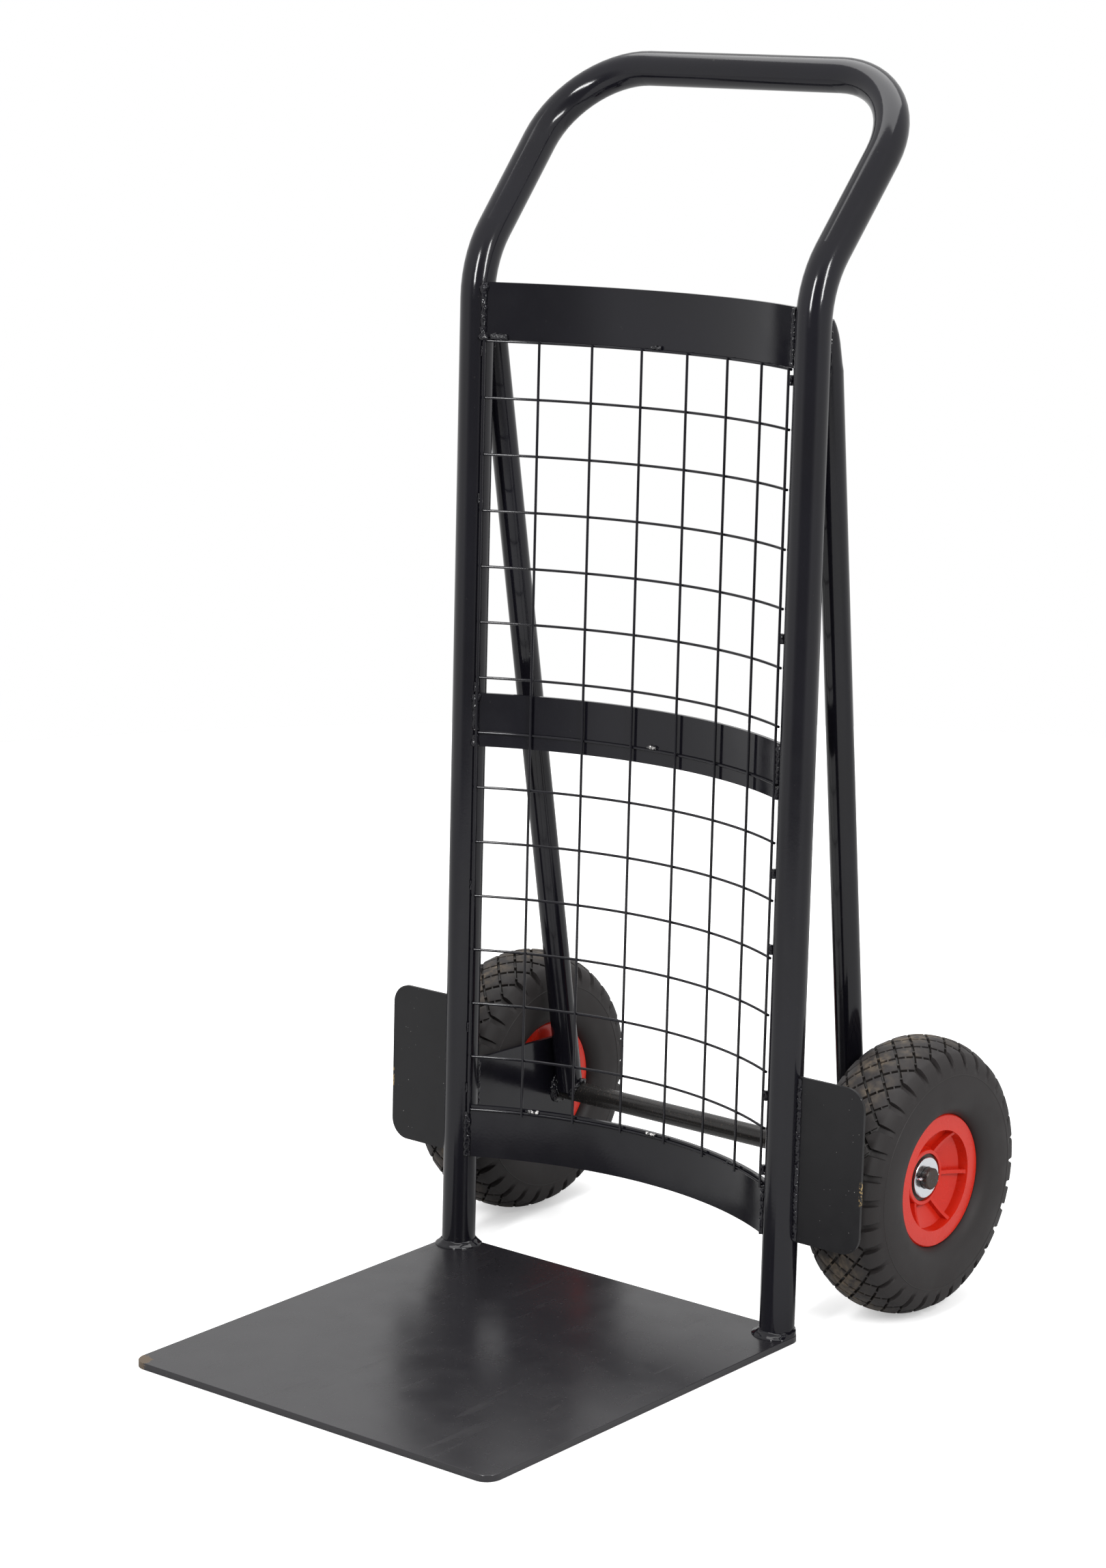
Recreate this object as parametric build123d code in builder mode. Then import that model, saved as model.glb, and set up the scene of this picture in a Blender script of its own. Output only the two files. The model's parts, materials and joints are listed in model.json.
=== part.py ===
from build123d import *
import os
from math import asin, cos, degrees, radians, sin, sqrt

# Two-wheeled hand truck with a bowed mesh back.  Millimetres, +Z up.
# Floor and wheel contact at Z = 0, uprights at Y = 0 on the floor, toe plate towards -Y,
# handle and wheels towards +Y, left/right symmetric about X = 0 (right side is +X).

# ---------------------------------------------------------------- driving dimensions
# uprights and handle: one bent tube
tube_radius = 16.0
tube_wall = 2.0
upright_spacing = 191.0
lean_deg = 2.1
bend_height = 948.5
arm_angle_deg = 41.3
arm_length = 226.5
arm_spacing = 196.0
arm_bend_radius = 99.0
grip_bend_radius = 86.0

# toe plate
toe_half_width = 209.5
toe_front = -420.2
toe_back = 15.1
toe_thickness = 6.0
toe_corner_radius = 15.0
toe_edge_radius = 0.8
collar_width = 7.0
collar_height = 6.5
collar_knee = (3.9, 2.9)
collar_lip = 1.2

# mesh and bowed cross plates
mesh_pitch = 52.25
mesh_columns = 8
mesh_rows = 15
mesh_bottom = 143.85
wire_radius = 1.25
wire_overhang = 2.5
bow_radius = 337.2
bow_centre = -297.5
row_left_end = -175.6
row_right_end = 174.5
plate_height = 50.6
plate_thickness = 4.0
plate_half_width = 181.0
lower_plate_bottom = 97.0
middle_plate_bottom = 496.2
upper_plate_bottom = 876.4
upper_plate_height = 52.6
end_weld_radius = 3.3

# wheel guards
guard_outer = 277.9
guard_bottom = 96.0
guard_height = 153.0
guard_thickness = 3.0
guard_corner_radius = 19.0
seam_half_width = 3.6
seam_bulge = 2.3

# axle, brackets and braces
axle_y = 145.6
axle_z = 129.0
axle_radius = 10.0
axle_half_length = 258.9
axle_chamfer = 1.0
pin_hole_radius = 1.7
pin_position = 254.7
pin_tilt_deg = -11.0
bracket_inner = 184.4
bracket_thickness = 4.0
bracket_bottom = 87.5
bracket_height = 100.0
bracket_reach = 160.0
bracket_corner_radius = 12.0
brace_radius = 12.6
brace_wall = 2.0
brace_foot = (170.0, 143.8, 131.0)
brace_top = (192.6, 51.8, 916.7)
nose_length = 45.0

# wheels
wheel_centre_x = 233.2
rim_half_width = 32.2
rim_lip_radius = 62.0
rim_lip_width = 5.0
rim_lip_edge = 1.2
rim_barrel_radius = 50.5
rim_recess_radius = 47.0
rim_wall_depth = 10.0
web_drop = 10.0
web_thickness = 5.5
boss_radius = 26.2
boss_outer_end = 17.6
boss_inner_end = -41.0
boss_edge = 0.8
bearing_radius = 22.3
bearing_bore = 10.06
bearing_width = 12.0
bearing_outer_face = 15.4
bearing_inner_face = -41.4
bearing_edge = 0.5
hub_clear_radius = 19.0
rib_count = 6
rib_thickness = 3.5
rib_phase_deg = -4.3
rib_dip = 9.0
rib_root = 1.0
tyre_radius = 129.0
tyre_half_width = 42.6
tyre_section_height = 43.9
tyre_section_power = 2.38
tyre_heel = (37.5, 65.0)
tyre_heel_step = 4.6
lug_count = 32
lug_phase_deg = 7.2
lug_gap_width = 8.5
lug_gap_start = 107.0
lug_depth = 4.5
washer_radius = 19.0
washer_bore = 10.4
washer_thickness = 3.0
washer_edge = 0.4
outer_washer_face = 252.0
pin_radius = 1.5

# ---------------------------------------------------------------- shared datums
lean = radians(lean_deg)
up_dir = (0, sin(lean), cos(lean))
back_dir = (0, cos(lean), -sin(lean))
# local x across the truck, local y to the back, local z up along the uprights
level = Plane(origin=(0, 0, 0), x_dir=(1, 0, 0), z_dir=up_dir)
# local x across the truck, local y up along the uprights, local z to the front
face = Plane(origin=(0, 0, 0), x_dir=(1, 0, 0), z_dir=(0, -cos(lean), sin(lean)))
wheel_axis = Axis((0, axle_y, axle_z), (1, 0, 0))
pin_dir = Vector(0, cos(radians(pin_tilt_deg)), sin(radians(pin_tilt_deg)))

row_radius = bow_radius + wire_radius
column_radius = bow_radius - wire_radius
brace_dir = Vector(*brace_top) - Vector(*brace_foot)
brace_plane = Plane(origin=brace_foot, z_dir=brace_dir)
# local x outwards from the brace's centreline, local y up along it
brace_side = Plane(origin=brace_foot, x_dir=brace_plane.x_dir, z_dir=-brace_plane.y_dir)
plate_inner_radius = row_radius + wire_radius
plate_outer_radius = plate_inner_radius + plate_thickness
sides = (-1, 1)

os.makedirs("parts", exist_ok=True)


def on_upright(x, height):
    return (x, height * sin(lean), height * cos(lean))


def side_plane(x):
    """Local x to the back, local y up along the uprights, local z along +X."""
    return Plane(origin=(x, 0, 0), x_dir=back_dir, z_dir=(1, 0, 0))


def cut_uprights(bottom, height, radius=tube_radius):
    """Inside a part block: take both uprights' cylinders out of it."""
    with BuildSketch(level.offset(bottom)) as bores:
        with Locations((-upright_spacing, 0), (upright_spacing, 0)):
            Circle(radius)
    extrude(bores.sketch, amount=height, mode=Mode.SUBTRACT)


def cut_axle(radius=axle_radius):
    """Inside a part block: take the axle's cylinder out of it."""
    with BuildSketch(Plane(origin=(-axle_half_length, axle_y, axle_z), z_dir=(1, 0, 0))) as bore:
        Circle(radius)
    extrude(bore.sketch, amount=2 * axle_half_length, mode=Mode.SUBTRACT)


def save(part, label):
    part.label = label
    export_step(part, "parts/" + label + ".step")


def save_pair(right_part, name):
    """The right-hand piece and its mirror image."""
    save(right_part, "right_" + name)
    with BuildPart() as left:
        mirror(right_part, about=Plane.YZ)
    save(left.part, "left_" + name)


# ---------------------------------------------------------------- frame tube
arm = radians(arm_angle_deg)
arm_rise = arm_length * cos(arm)
arm_reach = arm_length * sin(arm)
bend_y = bend_height * sin(lean)
bend_z = bend_height * cos(lean)
tube_points = [
    (-upright_spacing, 0, 0),
    (-upright_spacing, bend_y, bend_z),
    (-arm_spacing, bend_y + arm_reach, bend_z + arm_rise),
    (arm_spacing, bend_y + arm_reach, bend_z + arm_rise),
    (upright_spacing, bend_y, bend_z),
    (upright_spacing, 0, 0),
]
tube_bends = [arm_bend_radius, grip_bend_radius, grip_bend_radius, arm_bend_radius]

with BuildPart() as frame_tube:
    with BuildLine() as tube_path:
        FilletPolyline(*tube_points, radius=tube_bends)
    with BuildSketch(Plane(origin=tube_path.wires()[0] @ 0, z_dir=tube_path.wires()[0] % 0)):
        Circle(tube_radius)
        Circle(tube_radius - tube_wall, mode=Mode.SUBTRACT)
    sweep()
    # both feet are cut level with the top of the toe plate
    split(bisect_by=Plane.XY.offset(toe_thickness), keep=Keep.TOP)
save(frame_tube.part, "frame_tube")

# ---------------------------------------------------------------- toe plate
toe_length = toe_back - toe_front
with BuildPart() as toe_plate:
    with BuildSketch():
        with Locations((0, toe_front + toe_length / 2)):
            RectangleRounded(2 * toe_half_width, toe_length, toe_corner_radius)
    extrude(amount=toe_thickness)
    fillet(toe_plate.faces().sort_by(Axis.Z)[-1].edges(), toe_edge_radius)
save(toe_plate.part, "toe_plate")

# foot welds: a tapered collar round each upright, only where there is plate under it
with BuildPart() as foot_weld:
    collar_plane = Plane(origin=on_upright(upright_spacing, 0), x_dir=(1, 0, 0), z_dir=(0, -1, 0))
    with BuildSketch(collar_plane):
        with BuildLine():
            Polyline(
                (0, toe_thickness),
                (tube_radius + collar_width, toe_thickness),
                (tube_radius + collar_width, toe_thickness + collar_lip),
                (tube_radius + collar_knee[0], toe_thickness + collar_knee[1]),
                (tube_radius - tube_wall, toe_thickness + collar_height),
                (0, toe_thickness + collar_height),
                close=True,
            )
        make_face()
    revolve(axis=Axis(on_upright(upright_spacing, 0), (0, 0, 1)))
    cut_uprights(0, 4 * toe_thickness)
    split(bisect_by=Plane.XZ.offset(-toe_back), keep=Keep.TOP)
    with BuildSketch(Plane.XY.offset(toe_thickness)):
        with Locations((toe_half_width - 2 * tube_radius, 0)):
            Rectangle(4 * tube_radius, 4 * tube_radius)
    extrude(amount=collar_height, mode=Mode.INTERSECT)
save_pair(foot_weld.part, "foot_weld")


# ---------------------------------------------------------------- bowed cross plates
def bowed_strip(inner, outer, half_width):
    """Sketch of a strip bowed to the back, cut off square at both sides."""
    with Locations((0, bow_centre)):
        Circle(outer)
        Circle(inner, mode=Mode.SUBTRACT)
    with Locations((0, bow_centre + outer)):
        Rectangle(2 * half_width, outer, mode=Mode.INTERSECT)


for plate_name, plate_bottom, strip_height in (
    ("lower_cross_plate", lower_plate_bottom, plate_height),
    ("middle_cross_plate", middle_plate_bottom, plate_height),
    ("upper_cross_plate", upper_plate_bottom, upper_plate_height),
):
    with BuildPart() as cross_plate:
        with BuildSketch(level.offset(plate_bottom)):
            bowed_strip(plate_inner_radius, plate_outer_radius, plate_half_width)
        extrude(amount=strip_height)
        cut_uprights(plate_bottom, strip_height)
    save(cross_plate.part, plate_name)

# ---------------------------------------------------------------- mesh
mesh_height = mesh_pitch * (mesh_rows - 1)
column_turn = mesh_pitch / bow_radius
columns = [
    (
        column_radius * sin((i - (mesh_columns - 1) / 2) * column_turn),
        bow_centre + column_radius * cos((i - (mesh_columns - 1) / 2) * column_turn),
    )
    for i in range(mesh_columns)
]
with BuildPart() as vertical_wires:
    with BuildSketch(level.offset(mesh_bottom - wire_overhang)):
        with Locations(*columns):
            Circle(wire_radius)
    extrude(amount=mesh_height + wire_overhang + wire_radius)
save(vertical_wires.part, "mesh_vertical_wires")

row_start = 90 - degrees(asin(row_right_end / row_radius))
row_end = 90 - degrees(asin(row_left_end / row_radius))
with BuildPart() as horizontal_wires:
    for row in range(mesh_rows):
        with BuildLine(level.offset(mesh_bottom + row * mesh_pitch)) as row_path:
            CenterArc((0, bow_centre), row_radius, row_start, row_end - row_start)
        with BuildSketch(Plane(origin=row_path.wires()[0] @ 0, z_dir=row_path.wires()[0] % 0)):
            Circle(wire_radius)
        sweep()
save(horizontal_wires.part, "mesh_horizontal_wires")


def cut_edge_wires():
    """Inside a part block: take the two outermost vertical wires out of it."""
    with BuildSketch(level.offset(mesh_bottom - wire_overhang)) as wire_bores:
        with Locations(columns[0], columns[-1]):
            Circle(wire_radius)
    extrude(wire_bores.sketch, amount=mesh_height + wire_overhang + wire_radius, mode=Mode.SUBTRACT)


# tack welds: lumps holding the edge wires to the uprights
edge_x, edge_y = columns[-1]
edge_gap = sqrt((upright_spacing - edge_x) ** 2 + edge_y**2)
tack_reach = (tube_radius + edge_gap - wire_radius) / 2
tack_x = upright_spacing + (edge_x - upright_spacing) * tack_reach / edge_gap
tack_y = edge_y * tack_reach / edge_gap
tack_radius = 2.2
tack_length = 9.0
left_tacks = (866.0, 730.0, 553.0, 363.0, 225.0, 165.0)
right_tacks = (866.0, 640.0, 430.0, 361.0, 227.0, 158.0)
with BuildPart() as edge_tacks:
    for side, heights in ((-1, left_tacks), (1, right_tacks)):
        for tack_height in heights:
            with BuildSketch(level.offset(tack_height - tack_length / 2)):
                with Locations((side * tack_x, tack_y)):
                    Circle(tack_radius)
            extrude(amount=tack_length)
    cut_uprights(0, bend_height - arm_bend_radius / 2)
    cut_edge_wires()
save(edge_tacks.part, "mesh_edge_tack_welds")

# tack welds: short beads lying on a horizontal wire, against the cross plate behind it
bead_gap = 0.06
bead_round = 0.75
# each bead: position across the truck, mesh row, length, radius
plate_tacks = (
    (-118.0, 0, 11.0, 1.5),
    (8.0, 0, 11.0, 1.5),
    (118.0, 0, 11.0, 1.5),
    (-4.0, 7, 11.0, 1.5),
    (-12.0, 14, 11.0, 1.5),
    (-163.5, 14, 16.0, 2.6),
)
with BuildPart() as plate_tack_welds:
    for bead_x, bead_row, bead_length, bead_radius in plate_tacks:
        bead_turn = asin(bead_x / plate_inner_radius)
        bead_reach = plate_inner_radius - bead_radius - bead_gap
        bead_start = level.from_local_coords(
            Vector(
                bead_reach * sin(bead_turn) - bead_length / 2 * cos(bead_turn),
                bow_centre + bead_reach * cos(bead_turn) + bead_length / 2 * sin(bead_turn),
                mesh_bottom + bead_row * mesh_pitch + wire_radius + bead_radius,
            )
        )
        bead_dir = Vector(cos(bead_turn), -sin(bead_turn) * cos(lean), sin(bead_turn) * sin(lean))
        with BuildSketch(Plane(origin=bead_start, z_dir=bead_dir)):
            Circle(bead_radius)
        extrude(amount=bead_length)
    fillet(plate_tack_welds.edges().filter_by(GeomType.CIRCLE), bead_round)
save(plate_tack_welds.part, "mesh_plate_tack_welds")

# end welds of the cross plates: a bead in the front corner between plate and upright
end_weld_x = 176.6
end_weld_y = bow_centre + sqrt(plate_inner_radius**2 - end_weld_x**2)
wire_gap = 2.0
run_inset = 1.0
middle_row = mesh_bottom + 7 * mesh_pitch
weld_runs = (
    (lower_plate_bottom + run_inset, mesh_bottom - wire_gap),
    (middle_plate_bottom + run_inset, middle_row - wire_gap),
    (middle_row + wire_gap, middle_plate_bottom + plate_height - run_inset),
    (upper_plate_bottom + 2 * run_inset, upper_plate_bottom + upper_plate_height - run_inset),
)
with BuildPart() as plate_end_welds:
    for run_bottom, run_top in weld_runs:
        with BuildSketch(level.offset(run_bottom)):
            with Locations((-end_weld_x, end_weld_y), (end_weld_x, end_weld_y)):
                Circle(end_weld_radius)
            with Locations((0, bow_centre)):
                Circle(plate_inner_radius, mode=Mode.INTERSECT)
            with Locations((-upright_spacing, 0), (upright_spacing, 0)):
                Circle(tube_radius, mode=Mode.SUBTRACT)
        extrude(amount=run_top - run_bottom)
    cut_edge_wires()
save(plate_end_welds.part, "cross_plate_weld_beads")

# ---------------------------------------------------------------- wheel guards
with BuildPart() as guard:
    with BuildSketch(face) as guard_outline:
        with Locations((upright_spacing, guard_bottom)):
            Rectangle(guard_outer - upright_spacing, guard_height, align=(Align.MIN, Align.MIN))
        fillet(guard_outline.vertices().group_by(Axis.X)[-1], guard_corner_radius)
    extrude(amount=guard_thickness / 2, both=True)
    cut_uprights(0, 2 * guard_height)
save_pair(guard.part, "wheel_guard")

# guard welds: a broad low bead in the front corner between guard and upright
with BuildPart() as guard_seam:
    with BuildSketch(level.offset(guard_bottom + run_inset)):
        with Locations((upright_spacing + tube_radius, -guard_thickness / 2)):
            Ellipse(seam_half_width, seam_bulge)
        with Locations((upright_spacing, 0)):
            Circle(tube_radius, mode=Mode.SUBTRACT)
        with Locations((guard_outer, 0)):
            Rectangle(2 * guard_outer, guard_thickness, mode=Mode.SUBTRACT)
    extrude(amount=guard_height - 2 * run_inset)
save_pair(guard_seam.part, "guard_weld_seam")

# ---------------------------------------------------------------- axle and its brackets
with BuildPart() as axle:
    with BuildSketch(Plane(origin=(-axle_half_length, axle_y, axle_z), z_dir=(1, 0, 0))):
        Circle(axle_radius)
    extrude(amount=2 * axle_half_length)
    chamfer(axle.edges().filter_by(GeomType.CIRCLE), axle_chamfer)
    for side in sides:
        with BuildSketch(Plane(origin=(side * pin_position, axle_y, axle_z), z_dir=pin_dir)):
            Circle(pin_hole_radius)
        extrude(amount=2 * axle_radius, both=True, mode=Mode.SUBTRACT)
save(axle.part, "axle")

with BuildPart() as bracket:
    with BuildSketch(side_plane(bracket_inner)) as bracket_outline:
        with Locations((0, bracket_bottom)):
            Rectangle(bracket_reach, bracket_height, align=(Align.MIN, Align.MIN))
        fillet(bracket_outline.vertices().sort_by(Axis.Y)[-2:], bracket_corner_radius)
    extrude(amount=bracket_thickness)
    cut_uprights(0, 2 * bracket_height)
    cut_axle()
save_pair(bracket.part, "axle_bracket")

# bracket welds: a seam on the upright and a collar round the axle, on the inner face
bracket_seam_y = sqrt(tube_radius**2 - (upright_spacing - bracket_inner) ** 2)
bracket_seam_radius = 3.0
axle_collar_radius = 15.5
axle_collar_height = 5.0
axle_collar_taper = 40.0
with BuildPart() as bracket_weld:
    with BuildSketch(level.offset(bracket_bottom + run_inset)):
        with Locations((bracket_inner, bracket_seam_y)):
            Circle(bracket_seam_radius)
        with Locations((upright_spacing, 0)):
            Circle(tube_radius, mode=Mode.SUBTRACT)
        with Locations((bracket_inner, bracket_seam_y)):
            Rectangle(
                2 * bracket_seam_radius,
                2 * bracket_seam_radius,
                align=(Align.MIN, Align.CENTER),
                mode=Mode.SUBTRACT,
            )
    extrude(amount=bracket_height - 2 * run_inset)
    with BuildSketch(Plane(origin=(bracket_inner, axle_y, axle_z), z_dir=(-1, 0, 0))):
        Circle(axle_collar_radius)
    extrude(amount=axle_collar_height, taper=axle_collar_taper)
    cut_axle()
    with BuildSketch(brace_plane):
        Circle(brace_radius)
    extrude(amount=4 * brace_radius, both=True, mode=Mode.SUBTRACT)
save_pair(bracket_weld.part, "bracket_weld")

# ---------------------------------------------------------------- braces
def brace_shape(growth, start, mode=Mode.ADD):
    """Inside a part block: the round brace with its closed, drawn-in top, from a height up."""
    wall = brace_radius + growth
    top = brace_dir.length
    tip = (wall - 6.8, top + growth)
    with BuildSketch(brace_side) as brace_half:
        with BuildLine():
            Polyline(tip, (0, top + growth), (0, start), (wall, start), (wall, top - nose_length))
            Spline((wall, top - nose_length), (wall - 2.3, top - 18), (wall - 3.9, top - 8.6), tip)
        make_face()
    revolve(brace_half.sketch, axis=Axis(brace_foot, brace_dir), mode=mode)


with BuildPart() as brace:
    brace_shape(0, 0)
    brace_shape(-brace_wall, 0, Mode.SUBTRACT)
    cut_uprights(0, bend_height)
    cut_axle()
save_pair(brace.part, "brace_tube")

# brace welds: a low bead where the brace runs out on the upright, a bead where it meets the axle
top_bead = 2.0
top_bead_length = 1.1 * nose_length
with BuildPart() as brace_top_weld:
    brace_shape(top_bead, brace_dir.length - top_bead_length)
    with BuildSketch(level.offset(upper_plate_bottom - plate_height)):
        with Locations((upright_spacing, 0)):
            Circle(tube_radius + top_bead)
            Circle(tube_radius, mode=Mode.SUBTRACT)
    extrude(amount=3 * plate_height, mode=Mode.INTERSECT)
    brace_shape(0, 0, Mode.SUBTRACT)
    with BuildSketch(level.offset(upper_plate_bottom)):
        bowed_strip(plate_inner_radius, plate_outer_radius, plate_half_width)
    extrude(amount=upper_plate_height, mode=Mode.SUBTRACT)
save_pair(brace_top_weld.part, "brace_top_weld")

foot_bead = 3.2
with BuildPart() as brace_foot_weld:
    with BuildSketch(brace_plane.offset(-foot_bead)):
        Circle(brace_radius + foot_bead)
    extrude(amount=axle_radius + 2 * foot_bead)
    with BuildSketch(Plane(origin=(bracket_inner, axle_y, axle_z), z_dir=(-1, 0, 0))):
        Circle(axle_radius + foot_bead)
        Circle(axle_radius, mode=Mode.SUBTRACT)
    extrude(amount=2 * brace_radius + 2 * foot_bead, mode=Mode.INTERSECT)
    with BuildSketch(brace_plane.offset(-2 * foot_bead)):
        Circle(brace_radius)
    extrude(amount=brace_dir.length, mode=Mode.SUBTRACT)
    with BuildSketch(Plane(origin=(bracket_inner, axle_y, axle_z), z_dir=(-1, 0, 0))):
        Circle(axle_collar_radius)
    extrude(amount=axle_collar_height, mode=Mode.SUBTRACT)
save_pair(brace_foot_weld.part, "brace_foot_weld")

# ---------------------------------------------------------------- wheel
# wheel sections: local x outboard from the wheel's middle plane, local y the radius
section_plane = Plane(origin=(wheel_centre_x, axle_y, axle_z), x_dir=(1, 0, 0), z_dir=(0, -1, 0))
web_outer_s = rim_half_width - rim_wall_depth
web_hub_s = web_outer_s - web_drop
draft_step = 0.8
web_fillet = 1.8
recess_foot = rim_recess_radius - draft_step
web_foot = boss_radius + web_fillet
rib_edge = 0.8
rib_set_back = 5.0


def rib_face(web_s, lip_s, dip_s, boss_s, hub_s):
    """Inside a sketch: one side of a rib, from the web out to a curved free edge."""
    barrel = rim_recess_radius + rib_root
    hub = boss_radius - rib_root
    sunk = web_thickness / 2
    with BuildLine() as rib_outline:
        Line((web_s - sunk, barrel), (lip_s, barrel))
        Spline((lip_s, barrel), (dip_s, rim_recess_radius - rib_dip), (boss_s, hub))
        Line((boss_s, hub), (hub_s - sunk, hub))
        Line((hub_s - sunk, hub), (web_s - sunk, barrel))
    make_face(rib_outline.edges())


with BuildPart() as rim:
    with BuildSketch(section_plane):
        with BuildLine():
            Polyline(
                (rim_half_width, rim_recess_radius),
                (rim_half_width, rim_lip_radius - rim_lip_edge),
                (rim_half_width - rim_lip_edge, rim_lip_radius),
                (rim_half_width - rim_lip_width, rim_lip_radius),
                (rim_half_width - rim_lip_width, rim_barrel_radius),
                (rim_lip_width - rim_half_width, rim_barrel_radius),
                (rim_lip_width - rim_half_width, rim_lip_radius),
                (rim_lip_edge - rim_half_width, rim_lip_radius),
                (-rim_half_width, rim_lip_radius - rim_lip_edge),
                (-rim_half_width, rim_recess_radius),
                (web_outer_s - web_thickness, recess_foot),
                (web_hub_s - web_thickness, web_foot),
                (web_hub_s - web_thickness - web_fillet, boss_radius),
                (boss_inner_end, boss_radius),
                (boss_inner_end, bearing_radius),
                (bearing_inner_face + bearing_width, bearing_radius),
                (bearing_inner_face + bearing_width, hub_clear_radius),
                (bearing_outer_face - bearing_width, hub_clear_radius),
                (bearing_outer_face - bearing_width, bearing_radius),
                (boss_outer_end, bearing_radius),
                (boss_outer_end, boss_radius - boss_edge),
                (boss_outer_end - boss_edge, boss_radius),
                (web_hub_s + web_fillet, boss_radius),
                (web_hub_s, web_foot),
                (web_outer_s, recess_foot),
                close=True,
            )
        make_face()
    revolve(axis=wheel_axis)
    for i in range(rib_count):
        turn = radians(rib_phase_deg + i * 360 / rib_count)
        rib_plane = Plane(
            origin=(wheel_centre_x, axle_y, axle_z),
            x_dir=(1, 0, 0),
            z_dir=(0, sin(turn), -cos(turn)),
        )
        with BuildSketch(rib_plane):
            rib_face(web_outer_s, rim_half_width - rib_edge, rim_half_width - rib_dip,
                     boss_outer_end - rib_edge, web_hub_s)
            rib_face(web_outer_s, rib_edge - rim_half_width, rib_dip - rim_half_width,
                     boss_inner_end + rib_set_back, web_hub_s)
        extrude(amount=rib_thickness / 2, both=True)
save_pair(rim.part, "wheel_rim")


def section_half_width(radius):
    """Half width of the tyre's rounded section at a radius from the axle."""
    middle = tyre_radius - tyre_section_height
    ratio = abs(radius - middle) / tyre_section_height
    return tyre_half_width * max(0.0, 1 - ratio**tyre_section_power) ** (1 / tyre_section_power)


# stations up the sidewall, closer together where it turns over into the crown
wall_radii = (71.0, 78.0, 86.0, 94.0, 101.0, 107.0, 112.0, 116.0, 119.5, 122.5, 125.0, 127.0)


def tyre_outline(inset):
    """Points of one sidewall from the rim lip to the crown, set in by a distance."""
    scale = (tyre_radius - inset) / tyre_radius
    return [(section_half_width(r) - inset, r * scale) for r in wall_radii]


lip_clearance = 0.3
bead_side = rim_half_width - rim_lip_width
heel_side = bead_side + tyre_heel_step
lip_top = rim_lip_radius + lip_clearance
with BuildPart() as tyre:
    with BuildSketch(section_plane):
        with BuildLine():
            right_wall = tyre_outline(0)
            left_wall = [(-s, r) for s, r in reversed(right_wall)]
            Spline(
                (heel_side, lip_top),
                tyre_heel,
                *right_wall,
                (0, tyre_radius),
                *left_wall,
                (-tyre_heel[0], tyre_heel[1]),
                (-heel_side, lip_top),
            )
            Polyline(
                (-heel_side, lip_top),
                (-bead_side, lip_top),
                (-bead_side, rim_barrel_radius),
                (bead_side, rim_barrel_radius),
                (bead_side, lip_top),
                (heel_side, lip_top),
            )
        make_face()
    revolve(axis=wheel_axis)

# shoulder gaps between the tread lugs: radial bars, less the body of the tyre under them
bar_end = tyre_half_width + lug_depth
bar_top = tyre_radius + lug_depth
bar_foot = lug_gap_start - lug_depth
bar_plane = Plane(origin=(wheel_centre_x - bar_end, axle_y, axle_z), x_dir=(0, 1, 0), z_dir=(1, 0, 0))
shoulder = [(s, r) for s, r in tyre_outline(lug_depth) if r > lug_gap_start]
with BuildPart() as shoulder_gaps:
    with BuildSketch(bar_plane):
        with PolarLocations((bar_top + bar_foot) / 2, lug_count, start_angle=lug_phase_deg):
            Rectangle(bar_top - bar_foot, lug_gap_width)
    extrude(amount=2 * bar_end)
    with BuildSketch(section_plane):
        with BuildLine():
            Polyline(
                (0, rim_barrel_radius),
                (2 * bar_end, rim_barrel_radius),
                (2 * bar_end, shoulder[0][1]),
                *shoulder,
                (shoulder[-1][0], 2 * bar_top),
                (0, 2 * bar_top),
                close=True,
            )
        make_face()
        mirror(about=Plane.YZ)
    revolve(axis=wheel_axis, mode=Mode.SUBTRACT)
with BuildPart() as treaded_tyre:
    add(tyre.part)
    add(shoulder_gaps.part, mode=Mode.SUBTRACT)
save_pair(treaded_tyre.part, "tyre")


def ring_section(low, high, inner, outer):
    """Inside a part block: a ring round the axle between two X positions."""
    with BuildSketch(Plane(origin=(low, axle_y, axle_z), z_dir=(1, 0, 0))) as ring:
        Circle(outer)
        Circle(inner, mode=Mode.SUBTRACT)
    extrude(ring.sketch, amount=high - low)


# bearings
for bearing_name, bearing_low in (
    ("outer_bearing", wheel_centre_x + bearing_outer_face - bearing_width),
    ("inner_bearing", wheel_centre_x + bearing_inner_face),
):
    with BuildPart() as bearing:
        ring_section(bearing_low, bearing_low + bearing_width, bearing_bore, bearing_radius)
        chamfer(bearing.edges().filter_by(GeomType.CIRCLE).group_by(SortBy.RADIUS)[-1], bearing_edge)
    save_pair(bearing.part, bearing_name)

# washers
bracket_face = bracket_inner + bracket_thickness
with BuildPart() as inner_washer:
    ring_section(bracket_face, bracket_face + washer_thickness, washer_bore, washer_radius)
    chamfer(inner_washer.edges().filter_by(GeomType.CIRCLE).group_by(SortBy.RADIUS)[-1], washer_edge)
save_pair(inner_washer.part, "inner_washer")

with BuildPart() as outer_washer:
    ring_section(outer_washer_face - washer_thickness, outer_washer_face, washer_bore, washer_radius)
    chamfer(outer_washer.edges().filter_by(GeomType.CIRCLE).group_by(SortBy.RADIUS)[-1], washer_edge)
save_pair(outer_washer.part, "outer_washer")

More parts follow.
